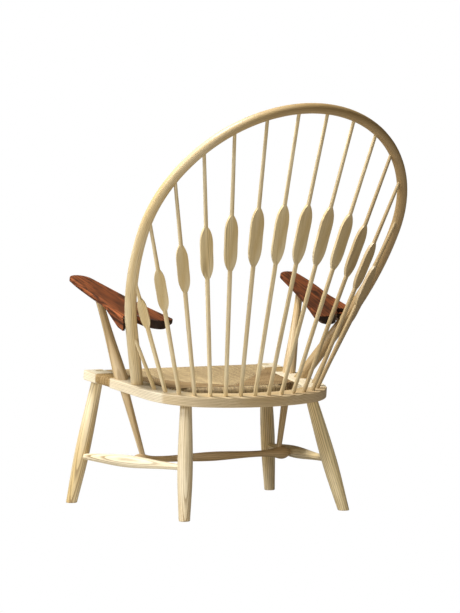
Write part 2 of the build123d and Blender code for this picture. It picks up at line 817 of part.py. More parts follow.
# Arms: flat on top, thinned towards their edges underneath, notched round the hoop
arm_up = Axis((0, 0, 0), tuple(arm_plane.z_dir))
arms = []
for side, name in sides:
    with BuildPart() as arm:
        with BuildSketch(arm_plane):
            with BuildLine():
                draw_arm(side, 0)
            make_face()
        extrude(amount=-arm_edge_thickness)
        with BuildSketch(arm_plane.offset(-arm_edge_thickness)):
            with BuildLine():
                draw_arm(side, 0)
            make_face()
        with BuildSketch(arm_under):
            with BuildLine():
                draw_arm(side, arm_under_inset_share)
            make_face()
        loft(ruled=True)
        with BuildSketch(arm_plane.offset(-arm_edge_thickness)):
            with BuildLine():
                Polyline(*[arm_point(pair, side, 0) for pair in arm_knuckle_top_shares], close=True)
            make_face()
        with BuildSketch(arm_plane.offset(-arm_knuckle_depth)):
            with BuildLine():
                Polyline(*[arm_point(pair, side, 0) for pair in arm_knuckle_foot_shares], close=True)
            make_face()
        loft(ruled=True)
        fillet(arm.faces().sort_by(arm_up)[-1].edges(), arm_top_round)
        bottom, top = post_axis(side)
        with Locations(bore_plane(top, bottom).offset(arm_thickness - joint_clearance)):
            Cylinder(post_tenon_radius + joint_clearance, arm_thickness * 2, mode=Mode.SUBTRACT)
        low, high = hoop_place(arm_hoop_share + hoop_step_share, side), hoop_place(arm_hoop_share, side)
        with Locations(bore_plane(high, low)):
            Cylinder(arm_hoop_radius + arm_hoop_gap, arm_knuckle_depth * 4, mode=Mode.SUBTRACT)
    arm.part.label = f"armrest_{name}"
    arms.append(arm.part)

# Woven cord seat: one closed form round the bars and necks
with BuildPart() as cord_seat:
    with BuildSketch(seat_plane):
        with BuildLine():
            draw_rail_half(rail_back_inner_margin + joint_clearance)
            inner_line = rail_side_inner_margin + joint_clearance
            cord_front_v = front_bar_middle_v - front_bar_depth / 2 - cord_build
            Line(corner_end(rail_back_inner_margin + joint_clearance), side_point(cord_front_v, inner_line))
            Line(side_point(cord_front_v, inner_line), (0, cord_front_v))
            mirror(about=Plane.YZ)
        make_face()
        with Locations((0, rear_bar_reach - rear_bar_radius)):
            Circle(rear_bar_radius + rear_bar_depth / 2 + cord_build, mode=Mode.INTERSECT)
        for side, name in sides:
            with BuildLine():
                Polyline(
                    (side * side_point(ear_rear_v, -rail_outer_margin)[0], ear_rear_v + joint_clearance),
                    (side * side_point(neck_rear_v, -rail_outer_margin)[0], neck_rear_v - joint_clearance),
                    (side * side_point(neck_rear_v, inner_line + cord_build)[0], neck_rear_v - joint_clearance),
                    (side * side_point(ear_rear_v, inner_line + cord_build)[0], ear_rear_v + joint_clearance),
                    close=True,
                )
            make_face()
    extrude(amount=-rail_thickness)
    long_edges = cord_seat.edges().filter_by(lambda edge: edge.length > rear_bar_reach)
    fillet(long_edges.filter_by(Axis.X) + long_edges.filter_by(GeomType.CIRCLE), cord_edge_round)
    with BuildSketch(seat_plane.offset(joint_clearance - cord_build)):
        draw_front_bar(joint_clearance, ear_inner_x + rail_side_inner_margin)
        with BuildLine():
            draw_rear_bar(joint_clearance, bar_seat_x + rear_bar_tenon_length)
        make_face()
        for side, name in sides:
            with BuildLine():
                Polyline(
                    *[
                        (side * (side_point(v, 0)[0] + reach), v)
                        for v, reach in (
                            (ear_rear_v - joint_clearance, rail_outer_margin - cord_build + joint_clearance),
                            (neck_rear_v + joint_clearance, rail_outer_margin - cord_build + joint_clearance),
                            (neck_rear_v + joint_clearance, cord_build - rail_side_inner_margin - joint_clearance),
                            (ear_rear_v - joint_clearance, cord_build - rail_side_inner_margin - joint_clearance),
                        )
                    ],
                    close=True,
                )
            make_face()
    extrude(amount=-neck_thickness - joint_clearance - joint_clearance, mode=Mode.SUBTRACT)
cord_seat.part.label = "cord_seat"

pieces = [
    seat_rail.part,
    front_bar.part,
    rear_bar.part,
    cord_seat.part,
    cross_stretcher.part,
    hoop.part,
    *legs,
    *wedges,
    *side_stretchers,
    *posts,
    *arms,
    *spindle_parts,
]
# The whole chair is moved along Y, so that the origin ends under the middle of its outer box
frame_shift = Location((0, -Compound(pieces).bounding_box().center().Y, 0))
print("moved along Y by", frame_shift.position.Y)
os.makedirs("parts", exist_ok=True)
for piece in pieces:
    placed = piece.moved(frame_shift)
    placed.label = piece.label
    export_step(placed, f"parts/{piece.label}.step")
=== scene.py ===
# %% [markdown]
# # A hoop-backed chair with a cord seat
#
# The wooden frame of this chair comes in as finished solids, and this lesson dresses it.
# It gives the pale ash its grain and the dark arms their streaks, and it weaves the cord seat.
# The first cell imports every solid from model.glb, in metres, and moves each one's place into its mesh.
# The solids could be modelled again here, but then the looks and the joinery could drift apart.

# %% Load the frame
import math
import bmesh
import bpy
from mathutils import Euler, Matrix, Vector, noise


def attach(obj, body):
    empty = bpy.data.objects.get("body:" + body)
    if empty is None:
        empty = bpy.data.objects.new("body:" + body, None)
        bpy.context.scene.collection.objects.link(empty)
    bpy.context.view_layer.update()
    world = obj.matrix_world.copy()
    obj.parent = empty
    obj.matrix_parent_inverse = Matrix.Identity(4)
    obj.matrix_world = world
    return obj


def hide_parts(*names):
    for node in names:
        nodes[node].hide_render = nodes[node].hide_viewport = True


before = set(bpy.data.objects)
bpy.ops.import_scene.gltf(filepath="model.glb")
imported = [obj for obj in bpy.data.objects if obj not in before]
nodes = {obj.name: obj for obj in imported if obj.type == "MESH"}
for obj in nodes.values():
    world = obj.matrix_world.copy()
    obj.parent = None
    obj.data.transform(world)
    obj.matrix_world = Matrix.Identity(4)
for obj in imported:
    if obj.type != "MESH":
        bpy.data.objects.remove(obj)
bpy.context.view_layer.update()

# %% [markdown]
# ## The camera
#
# The chair is seen from behind and a little to one side, from far away, so its lines hardly converge.
# A long lens does that: a camera seven metres off with a field of view of thirteen degrees.
# `to_track_quat` turns a direction into a rotation, which is easier to read than three angles.

# %% Place the camera
camera_azimuth = math.radians(150.48)
camera_elevation = math.radians(2.58)
towards_camera = Vector((
    math.sin(camera_azimuth) * math.cos(camera_elevation),
    -math.cos(camera_azimuth) * math.cos(camera_elevation),
    math.sin(camera_elevation),
))
lens_data = bpy.data.cameras.new("long_lens")
lens_data.sensor_fit = "VERTICAL"
lens_data.sensor_height = 36.0
lens_data.lens = 158.69
lens_data.clip_end = 60.0
camera = bpy.data.objects.new("camera", lens_data)
camera.location = (3.4578, 6.0549, 0.8427)
camera.rotation_euler = towards_camera.to_track_quat("Z", "Y").to_euler()
bpy.context.scene.collection.objects.link(camera)
bpy.context.scene.camera = camera
print("camera", [round(v, 3) for v in camera.location])

# %% [markdown]
# ## Short words for shader nodes
#
# Every finish below is a tree of nodes. Written out, each node takes a line to add it, a line for every
# setting and a line for every link. One helper does all of that, and four small ones give the nodes that
# come up most a short name: a sum, a mixed colour, a value moved to another range, and a soft noise.
# An input that is given a socket is linked, and one that is given a number or a colour keeps it.

# %% Helpers for shader nodes
def shader_node(tree, kind, inputs=(), **settings):
    """Add a node, set its fields, and set or link its inputs."""
    node = tree.nodes.new(kind)
    for field, value in settings.items():
        setattr(node, field, value)
    for key, value in dict(inputs).items():
        if isinstance(value, bpy.types.NodeSocket):
            tree.links.new(value, node.inputs[key])
        else:
            node.inputs[key].default_value = value
    return node


def maths(tree, operation, *values):
    """The result of a sum."""
    return shader_node(tree, "ShaderNodeMath", dict(enumerate(values)), operation=operation).outputs[0]


def mix(tree, factor, first, second, kind="RGBA"):
    """What lies between two colours, or between two numbers."""
    sockets = {"Factor": factor, "A": first, "B": second}
    return shader_node(tree, "ShaderNodeMix", sockets, data_type=kind).outputs["Result"]


def remap(tree, value, start, end, low=0.0, high=1.0, curve="LINEAR"):
    """A value that goes from low to high while another goes from start to end."""
    sockets = {"Value": value, "From Min": start, "From Max": end, "To Min": low, "To Max": high}
    return shader_node(tree, "ShaderNodeMapRange", sockets, interpolation_type=curve).outputs[0]


def cloud(tree, place, scale, detail=2.0, roughness=0.5):
    """A soft noise between zero and one."""
    sockets = {"Vector": place, "Scale": scale, "Detail": detail, "Roughness": roughness}
    return shader_node(tree, "ShaderNodeTexNoise", sockets).outputs[0]


def clean_material(name):
    """A material with an empty tree."""
    material = bpy.data.materials.new(name)
    material.use_nodes = True
    material.node_tree.nodes.clear()
    return material


print("helpers: node, sum, mix, range, noise and empty material")

# %% [markdown]
# ## The floor
#
# A studio picture stands its subject on a sheet that is lit until it goes white. Light Path's
# Is Camera Ray does the same without more light on the chair: what the camera sees directly is
# plain white, and everything else still meets an ordinary pale floor.

# %% Lay the floor
floor_mesh = bmesh.new()
bmesh.ops.create_grid(floor_mesh, x_segments=1, y_segments=1, size=12.0)
floor_data = bpy.data.meshes.new("floor")
floor_mesh.to_mesh(floor_data)
floor_mesh.free()
floor = bpy.data.objects.new("floor", floor_data)
bpy.context.scene.collection.objects.link(floor)
floor_paint = clean_material("white_sweep")
tree = floor_paint.node_tree
path = shader_node(tree, "ShaderNodeLightPath")
pale = shader_node(tree, "ShaderNodeBsdfDiffuse", {"Color": (0.55, 0.53, 0.49, 1)})
white = shader_node(tree, "ShaderNodeEmission", {"Color": (1, 1, 1, 1), "Strength": 1.0})
ways = {0: path.outputs["Is Camera Ray"], 1: pale.outputs[0], 2: white.outputs[0]}
seen = shader_node(tree, "ShaderNodeMixShader", ways)
shader_node(tree, "ShaderNodeOutputMaterial", {"Surface": seen.outputs[0]})
floor_data.materials.append(floor_paint)
print("floor", floor_data.polygons[0].area, "square metres")

# %% [markdown]
# ## World and lamps
#
# The world works like the floor: plain white to the camera, and a dim warm light to the chair.
# Three square lamps do the rest: a cool key from the sitter's left, a stronger one high above, and a
# weak warm one low behind the chair. One strong sun would be simpler, but its hard shadows would cut the
# thin spindles in two. Square lamps of about a metre give the turned parts one broad highlight.

# %% Light the chair
world = bpy.data.worlds.new("studio")
world.use_nodes = True
bpy.context.scene.world = world
tree = world.node_tree
tree.nodes.clear()
path = shader_node(tree, "ShaderNodeLightPath")
dim = shader_node(tree, "ShaderNodeBackground", {"Color": (1.0, 0.90, 0.66, 1), "Strength": 0.13})
bright = shader_node(tree, "ShaderNodeBackground", {"Color": (1, 1, 1, 1), "Strength": 1.0})
ways = {0: path.outputs["Is Camera Ray"], 1: dim.outputs[0], 2: bright.outputs[0]}
both = shader_node(tree, "ShaderNodeMixShader", ways)
shader_node(tree, "ShaderNodeOutputWorld", {"Surface": both.outputs[0]})
lamp_target = Vector((0, 0, 0.5))


def soft_lamp(name, place, watts, size, tint):
    """A square lamp that looks at the middle of the chair."""
    light = bpy.data.lights.new(name, "AREA")
    light.energy = watts
    light.color = tint
    light.size = size
    lamp = bpy.data.objects.new(name, light)
    lamp.location = place
    lamp.rotation_euler = (Vector(place) - lamp_target).to_track_quat("Z", "Y").to_euler()
    bpy.context.scene.collection.objects.link(lamp)
    print(name, watts, "watts")


soft_lamp("key_lamp", (2.9, 0.0, 1.7), 53, 0.8, (0.93, 0.95, 1.0))
soft_lamp("top_lamp", (1.3, 0.0, 3.2), 150, 1.0, (0.97, 0.99, 1.0))
soft_lamp("fill_lamp", (1.9, 3.7, 0.6), 27, 1.4, (1.0, 0.95, 0.86))
bpy.context.scene.view_settings.view_transform = "Standard"

# %% [markdown]
# ## Helpers for groups
#
# A pattern that several finishes share is made once, as a node group with named sockets. Copying its nodes
# into each material would work, but a change would then have to be made in every copy.
# Since Blender 4 a group's sockets are made through its interface, before its two end nodes show them.
# Two more helpers belong here: one draws a noise out along Z, and the other measures the long side of a
# right triangle.

# %% Make an empty group
def new_group(name, numbers, outputs):
    """A shader group that takes a vector and some numbers, with its two end nodes."""
    group = bpy.data.node_groups.new(name, "ShaderNodeTree")
    group.interface.new_socket("Vector", in_out="INPUT", socket_type="NodeSocketVector")
    for label in numbers:
        group.interface.new_socket(label, in_out="INPUT", socket_type="NodeSocketFloat")
    for label, kind in outputs.items():
        group.interface.new_socket(label, in_out="OUTPUT", socket_type=kind)
    return group, group.nodes.new("NodeGroupInput"), group.nodes.new("NodeGroupOutput")


def drawn_out(tree, place, share):
    """Coordinates in which a noise is drawn out along Z."""
    return shader_node(tree, "ShaderNodeMapping", {"Vector": place, "Scale": (1, 1, share)}).outputs[0]


def distance(tree, one_side, other_side):
    """The long side of a right triangle."""
    squares = [maths(tree, "MULTIPLY", side, side) for side in (one_side, other_side)]
    return maths(tree, "SQRT", maths(tree, "ADD", *squares))


print("helpers: new group, drawn out, distance")

# %% [markdown]
# ## The figure of the wood
#
# A turned leg shows long lines with pointed arches where it swells, because it is cut from a trunk whose
# yearly rings run nearly along it. Stripes painted on the surface would miss those arches.
# So the pattern is made as a solid: the distance from the heart of the trunk, divided by the width of a
# ring, counts the rings, and the turned shape then cuts through them. A slow noise makes them wander.
# Each ring starts with a porous dark band and fades. Short thin lines, the pores, are densest in the band.
# One node group does this for the ash and for the dark arms. Both give it their own ring width and colours.

# %% The ring group
along_grain = 0.14
along_pore = 0.03
rings, taken, given = new_group(
    "wood_rings",
    ("Heart X", "Heart Y", "Ring Width", "Wander"),
    dict.fromkeys(("Rings", "Pores", "Drift"), "NodeSocketFloat"),
)
trunk = taken.outputs["Vector"]
slow = drawn_out(rings, trunk, along_grain)
bend = cloud(rings, slow, 12.0)
across = shader_node(rings, "ShaderNodeSeparateXYZ", {0: trunk}).outputs
from_x = maths(rings, "SUBTRACT", across[0], taken.outputs["Heart X"])
from_y = maths(rings, "SUBTRACT", across[1], taken.outputs["Heart Y"])
wander = maths(rings, "MULTIPLY", bend, taken.outputs["Wander"])
from_heart = maths(rings, "ADD", distance(rings, from_x, from_y), wander)
year = maths(rings, "FRACT", maths(rings, "DIVIDE", from_heart, taken.outputs["Ring Width"]))
early_wood = remap(rings, year, 0.0, 0.5, 1.0, 0.0, "SMOOTHSTEP")
ring_start = remap(rings, year, 0.9, 1.0, curve="SMOOTHSTEP")
clearness = remap(rings, bend, 0.3, 0.65, 0.35, 1.0)
ring = maths(rings, "MULTIPLY", maths(rings, "MAXIMUM", early_wood, ring_start), clearness)
pore = remap(rings, cloud(rings, drawn_out(rings, trunk, along_pore), 620.0, roughness=0.65), 0.5, 0.7)
pores = maths(rings, "MULTIPLY", pore, remap(rings, early_wood, 0.0, 1.0, 0.3, 1.0))
drift = remap(rings, cloud(rings, slow, 34.0), 0.35, 0.68)
for label, result in (("Rings", ring), ("Pores", pores), ("Drift", drift)):
    rings.links.new(result, given.inputs[label])
print("ring group with", len(rings.nodes), "nodes")

# %% [markdown]
# ## A finish of soaped ash
#
# Soaped ash is almost white between its rings and turns tan with age and handling.
# One picture of wood could be wrapped round every piece, but all pieces would then show the same figure.
# Here the colour is built up in layers: the pale body that drifts slowly, a tan layer over it, then the
# rings, and the pores on top. The tan layer is the tan of age, and on some pieces painted shade too. The
# pores also catch less light and lie a little deeper.
# `tone` and `brown` say how tan a piece is, from age and on some pieces from painted shade, and `strength`
# how clearly its rings show.

# %% Layers of ash
ash_light = (0.86, 0.735, 0.485, 1)
ash_mid = (0.67, 0.495, 0.225, 1)
ash_dark = (0.27, 0.172, 0.072, 1)
ash_aged = (0.42, 0.25, 0.11, 1)


def finish_ash(tree, line, heart, ring_width, wander, brown, tone, strength, glue=None):
    """Colour, roughness and bump of ash, from coordinates that have Z along the grain."""
    values = {"Vector": line, "Heart X": heart[0], "Heart Y": heart[1]}
    values.update({"Ring Width": ring_width, "Wander": wander})
    figure = shader_node(tree, "ShaderNodeGroup", values, node_tree=rings).outputs
    colour = mix(tree, figure["Drift"], ash_light, ash_mid)
    colour = mix(tree, brown, colour, tone)
    colour = mix(tree, maths(tree, "MULTIPLY", figure["Rings"], strength), colour, ash_dark)
    colour = mix(tree, maths(tree, "MULTIPLY", figure["Pores"], 0.7), colour, ash_dark)
    if glue is not None:
        colour = mix(tree, glue, colour, ash_dark)
    rough = remap(tree, figure["Rings"], 0.0, 1.0, 0.42, 0.6)
    relief = {"Height": figure["Pores"], "Strength": 0.25, "Distance": 0.0004}
    bump = shader_node(tree, "ShaderNodeBump", relief, invert=True)
    coat = {"Base Color": colour, "Roughness": rough, "Normal": bump.outputs[0]}
    skin = shader_node(tree, "ShaderNodeBsdfPrincipled", coat)
    shader_node(tree, "ShaderNodeOutputMaterial", {"Surface": skin.outputs[0]})


print("ash from", ash_light[:3], "to", ash_dark[:3])

# %% [markdown]
# ## Where a piece lies
#
# Every turned piece has its grain along its own axis, so the pattern has to be turned with the piece.
# A Mapping node of the Texture kind does that: it takes a place and a rotation, and gives back what
# the point's coordinates are in the piece's own frame, with Z along the piece.
# The axis could be typed in for each piece. It is measured instead: it is the direction in which the
# points spread most, and weighing them by a first guess a dozen times settles on it.

# %% Find a piece's own frame
def long_axis(thing):
    """Centre and direction of a straight piece, from how its points spread."""
    points = [vertex.co for vertex in thing.data.vertices]
    centre = sum(points, Vector()) / len(points)
    arms = [point - centre for point in points]
    direction = max(arms, key=lambda arm: arm.length).normalized()
    for step in range(12):
        direction = sum((arm * arm.dot(direction) for arm in arms), Vector()).normalized()
    return centre, direction


def own_frame(tree, origin, turn):
    """The coordinates of the whole chair, and the same seen from a piece's own place."""
    place = shader_node(tree, "ShaderNodeTexCoord").outputs
    seen_from = {"Vector": place["Object"], "Location": origin, "Rotation": turn}
    return place, shader_node(tree, "ShaderNodeMapping", seen_from, vector_type="TEXTURE").outputs[0]


def dress(thing, material):
    """Give a solid its finish, in every slot that it has."""
    slots = thing.data.materials
    if not slots:
        slots.append(material)
    for number in range(len(slots)):
        slots[number] = material


centre, direction = long_axis(nodes["leg_rear_left"])
print("a rear leg points along", [round(v, 3) for v in direction])

# %% [markdown]
# ## Ash for the straight pieces
#
# Legs, stretchers, arm posts and spindles are turned from split ash. No two come from the same place in
# the trunk, so each piece gets a heart of its own: the angle to it grows by a fixed step that never
# repeats, and its distance takes three values. A random number would do too, but this one is easy to follow.
# The stretcher across and the arm posts are browner than the rest. The rear legs carry painted light and
# shade:
# the right one is painted lighter and the left one darker, as light falling more from behind makes them. One
# stretcher has a paler tone of its own.
# The spindles are painted darker and more tan towards the sitter's right, as painted shade where less light
# reaches them, as on the hoop.

# %% Dress the straight pieces
spindle_tan_and_shade = (0.34, 0.228, 0.098, 1)
heart_step = 2.4
tones_and_painted_light = {
    "arm_post_left": (0.5, ash_aged, 0.8),
    "arm_post_right": (0.5, ash_aged, 0.8),
    "cross_stretcher": (0.7, ash_aged, 0.8),
    # Painted light and shade: the rear left leg is painted darker, the rear right leg lighter.
    "leg_rear_left": (0.6, (0.62, 0.53, 0.38, 1), 0.95),
    "leg_rear_right": (0.6, (0.95, 0.77, 0.43, 1), 0.8),
    "side_stretcher_left": (0.6, (0.88, 0.80, 0.62, 1), 0.95),
}
starts = ("arm_post", "cross", "front_bar", "leg", "rear_bar", "side_stretcher", "spindle")
straight = [name for name in sorted(nodes) if name.startswith(starts)]
for number, name in enumerate(straight):
    centre, direction = long_axis(nodes[name])
    age = 0.08 * (number % 3)
    ring_width = 0.0048
    brown, tone, strength = tones_and_painted_light.get(name, (age, ash_aged, 0.8))
    # Painted shade: spindles further to the sitter's right are painted darker.
    if name.startswith("spindle"):
        ring_width = 0.0022
        painted_shade_to_right = min(max(-centre.x / 0.3, 0.0), 1.0)
        brown, tone, strength = age + 0.85 * painted_shade_to_right, spindle_tan_and_shade, 0.5
    reach = 0.030 + 0.012 * (number % 3)
    heart = (reach * math.cos(number * heart_step), reach * math.sin(number * heart_step))
    material = clean_material("ash_" + name)
    tree = material.node_tree
    own = own_frame(tree, centre, direction.to_track_quat("Z", "Y").to_euler())[1]
    finish_ash(tree, own, heart, ring_width, 0.014, brown, tone, strength)
    dress(nodes[name], material)
print("dressed", len(straight), "straight pieces in ash")

# %% [markdown]
# ## Unrolling a bend
#
# The hoop and the seat rail were straight strips, steamed and bent, so their grain follows the curve.
# A map laid out by hand could follow it too, but the solids come in without one.
# A second group unrolls the curve instead: the distance from the bend's centre takes the place of one
# axis, and the angle times the radius takes the place of the length. Before and after the bend the piece
# runs straight on. `Drift` lets that straight run lean, by so much for each metre past `Drift Start`.
# The chair is the same on both sides, so the group works on the distance from its middle plane.

# %% The unrolling group
unroll, taken, given = new_group(
    "unrolled",
    ("Corner X", "Corner Y", "Radius", "Drift", "Drift Start"),
    {"Vector": "NodeSocketVector"},
)
spot = shader_node(unroll, "ShaderNodeSeparateXYZ", {0: taken.outputs["Vector"]}).outputs
past_x = maths(unroll, "SUBTRACT", maths(unroll, "ABSOLUTE", spot[0]), taken.outputs["Corner X"])
past_y = maths(unroll, "SUBTRACT", spot[1], taken.outputs["Corner Y"])
in_x = maths(unroll, "MAXIMUM", past_x, 0.0)
in_y = maths(unroll, "MAXIMUM", past_y, 0.0)
out = distance(unroll, in_x, in_y)
angle = maths(unroll, "ARCTAN2", in_y, maths(unroll, "ADD", in_x, 0.00001))
turned = maths(unroll, "MULTIPLY", angle, taken.outputs["Radius"])
before = maths(unroll, "MINIMUM", past_y, 0.0)
after = maths(unroll, "MINIMUM", past_x, 0.0)
along = maths(unroll, "SUBTRACT", maths(unroll, "ADD", turned, before), after)
past_start = maths(unroll, "SUBTRACT", maths(unroll, "MULTIPLY", before, -1.0), taken.outputs["Drift Start"])
past_smooth = maths(unroll, "SMOOTH_MAX", past_start, 0.0, 0.2)
outwards = maths(unroll, "ADD", out, maths(unroll, "MULTIPLY", past_smooth, taken.outputs["Drift"]))
join = shader_node(unroll, "ShaderNodeCombineXYZ", {0: outwards, 1: spot[2], 2: along})
unroll.links.new(join.outputs[0], given.inputs["Vector"])


def unrolled(tree, own, corner, radius, drift, drift_start):
    """Coordinates along a bent piece, from those in the plane of its bend."""
    values = {"Vector": own, "Corner X": corner[0], "Corner Y": corner[1], "Radius": radius}
    values.update({"Drift": drift, "Drift Start": drift_start})
    return shader_node(tree, "ShaderNodeGroup", values, node_tree=unroll).outputs[0]


print("unrolling group with", len(unroll.nodes), "nodes")

# %% [markdown]
# ## The hoop
#
# The hoop is one rod bent in a plane that leans back, round a half circle at the crown, and its two legs
# draw in towards the rail. Its plane's frame has the centre of that half circle as its origin.
# The wood is pale at the foot on the sitter's left and grows darker and more tan over the crown to the right:
# partly the tan of age, partly painted shade where less light reaches. That is a plain ramp, along a line
# that counts half the height and the way to the right.

# %% Dress the hoop
back_shift = -0.117981
hoop_centre = (0, 0.2814 + back_shift, 0.7252)
hoop_turn = math.radians(56.0)
hoop_radius = 0.368
hoop_drift = 0.38
hoop_drift_start = 0.149
hoop_tan_and_shade = (0.34, 0.216, 0.088, 1)
material = clean_material("ash_back_hoop")
tree = material.node_tree
place, own = own_frame(tree, hoop_centre, (hoop_turn, 0, 0))
line = unrolled(tree, own, (0, 0), hoop_radius, hoop_drift, hoop_drift_start)
spot = shader_node(tree, "ShaderNodeSeparateXYZ", {0: place["Object"]}).outputs
# Painted shade with the tan: darker towards the crown and the sitter's right.
toward_right = maths(tree, "SUBTRACT", maths(tree, "MULTIPLY", spot[2], 0.5), spot[0])
brown = remap(tree, toward_right, -0.12, 0.55, 0.16, 0.92)
finish_ash(tree, line, (0.40, 0.03), 0.0034, 0.012, brown, hoop_tan_and_shade, 0.5)
dress(nodes["back_hoop"], material)
print("dressed the hoop, bent to a radius of", hoop_radius)

# %% [markdown]
# ## The seat rail
#
# The rail is built up from three thin layers, bent over a form and glued, and two dark lines on its edge
# show the glue. It is spliced: the back is tan, and the sides in front of it are nearly cream.
# The splices could be pieces of their own, but on this chair they are glued and sanded flush, so a
# change of tone over a few millimetres is enough. The tan deepens towards the sitter's right.
# Math's Compare gives one wherever the depth lies within a hair of a glue line.

# %% Dress the seat rail
seat_origin = (0, back_shift, 0.332)
seat_turn = -math.radians(6.54)
rail_corner = (0.1008, 0.0757)
rail_radius = 0.138
rail_drift = -0.0998
rail_cream = (0.90, 0.82, 0.66, 1)
glue_depths = (0.0087, 0.0174)
glue_half_width = 0.0003
material = clean_material("ash_seat_rail")
tree = material.node_tree
place, own = own_frame(tree, seat_origin, (seat_turn, 0, 0))
line = unrolled(tree, own, rail_corner, rail_radius, rail_drift, 0.0)
spot = shader_node(tree, "ShaderNodeSeparateXYZ", {0: place["Object"]}).outputs
in_front = remap(tree, spot[1], 0.036, 0.028)
tan = remap(tree, spot[0], 0.1, -0.25, 0.35, 0.65)
brown = maths(tree, "MAXIMUM", tan, maths(tree, "MULTIPLY", in_front, 0.6))
tone = mix(tree, in_front, ash_aged, rail_cream)
height = shader_node(tree, "ShaderNodeSeparateXYZ", {0: own}).outputs[2]
near = [maths(tree, "COMPARE", height, -depth, glue_half_width) for depth in glue_depths]
glue = maths(tree, "MULTIPLY", maths(tree, "MAXIMUM", *near), 0.4)
finish_ash(tree, line, (0.20, 0.06), 0.0032, 0.012, brown, tone, 0.75, glue)
dress(nodes["seat_rail"], material)
print("dressed the rail, with", len(glue_depths), "glue lines")

# %% [markdown]
# ## The dark arms
#
# The arms are oiled teak: a red brown with nearly black streaks, and a lighter, more orange band
# painted along the outer edge, as painted light where the key lamp falls on it.
# The ring group gives the broad streaks, and a noise drawn out along the grain adds thin black threads.
# The ends are darkest, because end grain drinks the oil. A painted mask would have to be fitted to each
# arm. Here the normal decides: where it points along the grain, the cut is across it.

# %% Streaks and end grain of teak
teak_light = (0.215, 0.060, 0.018, 1)
teak_mid = (0.10, 0.028, 0.0095, 1)
teak_dark = (0.016, 0.006, 0.003, 1)
teak_painted_edge_light = (0.36, 0.105, 0.034, 1)


def teak_streaks(tree, own, ring):
    """Where the nearly black streaks and threads of teak run."""
    thread = cloud(tree, drawn_out(tree, own, 0.06), 190.0, 4.0, 0.7)
    dark_thread = remap(tree, thread, 0.5, 0.57, 0.0, 0.9)
    return maths(tree, "MAXIMUM", maths(tree, "MULTIPLY", ring, 0.9), dark_thread)


def teak_ends(tree, normal, turn):
    """Where a piece that is turned so is cut across its grain."""
    grain = Vector((0, 0, 1))
    grain.rotate(turn)
    ways = {0: normal, 1: grain}
    facing = shader_node(tree, "ShaderNodeVectorMath", ways, operation="DOT_PRODUCT").outputs["Value"]
    return remap(tree, maths(tree, "ABSOLUTE", facing), 0.35, 0.7)


print("teak from", teak_light[:3], "to", teak_dark[:3])

# %% [markdown]
# ## Dressing the arms
#
# Left and right arm were cut as a mirrored pair. One finish in the chair's own coordinates would slope
# across both of them, so each arm gets its own frame, with Z along its length, and the side is a sign.
# Mirroring the object could do that too, but then its mesh would no longer be the one that came in.

# %% Dress the arms
arm_middle = (0.28, 0, 0.53)
arm_slope = math.radians(72.8)
arm_spread = math.radians(4)
for side, name in ((1, "armrest_left"), (-1, "armrest_right")):
    material = clean_material("teak_" + name)
    tree = material.node_tree
    turn = Euler((arm_slope, 0, side * arm_spread))
    place, own = own_frame(tree, (side * arm_middle[0], arm_middle[1], arm_middle[2]), turn)
    values = {"Vector": own, "Heart X": -side * 0.12, "Heart Y": 0.05, "Ring Width": 0.008, "Wander": 0.03}
    figure = shader_node(tree, "ShaderNodeGroup", values, node_tree=rings).outputs
    across = shader_node(tree, "ShaderNodeSeparateXYZ", {0: own}).outputs[0]
    outwards = maths(tree, "MULTIPLY", across, side)
    colour = mix(tree, figure["Drift"], teak_light, teak_mid)
    # Painted light: the outer edge is painted lighter and more orange.
    colour = mix(tree, remap(tree, outwards, 0.02, 0.075, 0.0, 0.8, "SMOOTHSTEP"), colour, teak_painted_edge_light)
    colour = mix(tree, teak_streaks(tree, own, figure["Rings"]), colour, teak_dark)
    colour = mix(tree, maths(tree, "MULTIPLY", figure["Pores"], 0.8), colour, teak_dark)
    ends = teak_ends(tree, place["Normal"], turn)
    colour = mix(tree, maths(tree, "MULTIPLY", ends, 0.95), colour, teak_dark)
    relief = {"Height": figure["Pores"], "Strength": 0.2, "Distance": 0.0003}
    bump = shader_node(tree, "ShaderNodeBump", relief, invert=True)
    coat = {"Base Color": colour, "Roughness": 0.45, "Specular IOR Level": 0.2, "Normal": bump.outputs[0]}
    skin = shader_node(tree, "ShaderNodeBsdfPrincipled", coat)
    shader_node(tree, "ShaderNodeOutputMaterial", {"Surface": skin.outputs[0]})
    dress(nodes[name], material)
    print("dressed", name, "with", len(tree.nodes), "nodes")

# %% [markdown]
# ## The wedges
#
# The front legs come up through the ears of the rail. A saw cut in each tenon takes a wedge that spreads
# it, and all that shows is a thin dark line. It could have a finish of its own, but it is a sliver of the
# same wood as the arms, so it borrows theirs.

# %% Dress the wedges
for name in ("tenon_wedge_left", "tenon_wedge_right"):
    dress(nodes[name], bpy.data.materials["teak_armrest_left"])
print("dressed the wedges")

# %% [markdown]
# ## The woven seat
#
# The seat is paper cord: a strip of kraft paper twisted hard, three such strands laid together.
# The weaver carries it over the front bar, across to the neck of the rail, and back again, so that
# each turn dives under the last one. The dives line up as seams that run inwards from the corners.
# A pattern on a flat seat would show lines but no cords at its edge, so here every turn is made.
# Each is one line of points. A curve object gives every line its thickness.
# The seat's own frame helps: across is +X, back follows the slope, and depth goes down from the top face.
# First come the edges that the cord has to meet: the inner faces of the rail, which lean outwards to the
# front, the outer faces of the two wrapped necks, and the rear bar, which is an arc.

# %% The edges of the weave
cord_radius = 0.0017
seat_depth = 0.026
seat_frame = Matrix.Translation(seat_origin) @ Matrix.Rotation(seat_turn, 4, "X")
inner_corner = (0.1961, 0.0852)
inner_lean = 0.1329
outer_corner = (0.26223, 0.08939)
outer_lean = 0.09981
bar_front = -0.2028
ear_back = -0.1453
neck_back = -0.0753
rear_bar_centre = -0.302
rear_bar_edge = 0.4165
rear_bar_inside = 0.386


def rail_inside(back):
    """Half the width between the rail's inner faces."""
    return inner_corner[0] + (inner_corner[1] - back) * inner_lean


